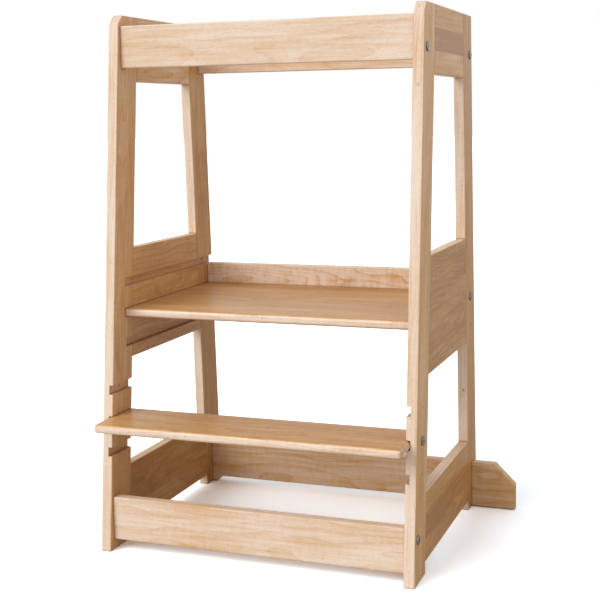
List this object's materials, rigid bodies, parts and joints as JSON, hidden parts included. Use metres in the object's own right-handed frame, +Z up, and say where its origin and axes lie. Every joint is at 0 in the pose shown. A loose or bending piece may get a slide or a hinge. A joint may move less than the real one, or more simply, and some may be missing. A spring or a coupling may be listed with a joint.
{
  "type": "learning tower",
  "caption": "Slotted beech learning tower: side frames with splayed legs carry a platform and a front step at a choice of heights, with guard rails and a wide anti-tip foot board.",
  "frame": {"origin": "on the floor, at the middle of the whole tower's footprint, step and foot board included", "axes": "+X to the right as seen from the step side, +Y from the step towards the back, +Z up"},
  "size_m": [0.7048, 0.4958, 0.9],
  "materials": {
    "beech_frame": "clear satin lacquer on solid beech",
    "beech_shelf": "clear satin lacquer on solid beech",
    "beech_dowel": "bare fluted beech",
    "steel_bolt": "bright zinc plate",
    "steel_nut": "bright zinc plate",
    "steel_screw": "passivated zinc plate"
  },
  "bodies": {
    "frame": {"back_stop": "beech_shelf", "back_stop_screws": "steel_screw", "back_top_rail": "beech_frame", "back_top_rail_bolts": "steel_bolt", "foot_board": "beech_frame", "foot_board_screws": "steel_screw", "front_low_rail": "beech_frame", "front_low_rail_bolts": "steel_bolt", "front_top_rail": "beech_frame", "front_top_rail_bolts": "steel_bolt", "left_back_leg": "beech_frame", "left_base_panel": "beech_frame", "left_front_leg": "beech_frame", "left_middle_panel": "beech_frame", "left_panel_dowels": "beech_dowel", "left_top_block": "beech_frame", "platform": "beech_shelf", "platform_barrel_nuts": "steel_nut", "rail_barrel_nuts": "steel_nut", "rail_dowels": "beech_dowel", "right_back_leg": "beech_frame", "right_base_panel": "beech_frame", "right_front_leg": "beech_frame", "right_middle_panel": "beech_frame", "right_panel_dowels": "beech_dowel", "right_top_block": "beech_frame", "step": "beech_shelf", "step_barrel_nuts": "steel_nut"},
    "right_platform_bolt": {"right_platform_bolt": "steel_bolt"},
    "left_platform_bolt": {"left_platform_bolt": "steel_bolt"},
    "right_step_bolt": {"right_step_bolt": "steel_bolt"},
    "left_step_bolt": {"left_step_bolt": "steel_bolt"}
  },
  "joints": [
    {"name": "right_platform_bolt_draw", "type": "slide", "parent": "frame", "child": "right_platform_bolt", "axis": [1, 0, 0], "range_m": [0, 0.03]},
    {"name": "left_platform_bolt_draw", "type": "slide", "parent": "frame", "child": "left_platform_bolt", "axis": [-1, 0, 0], "range_m": [0, 0.03]},
    {"name": "right_step_bolt_draw", "type": "slide", "parent": "frame", "child": "right_step_bolt", "axis": [1, 0, 0], "range_m": [0, 0.03]},
    {"name": "left_step_bolt_draw", "type": "slide", "parent": "frame", "child": "left_step_bolt", "axis": [-1, 0, 0], "range_m": [0, 0.03]}
  ]
}
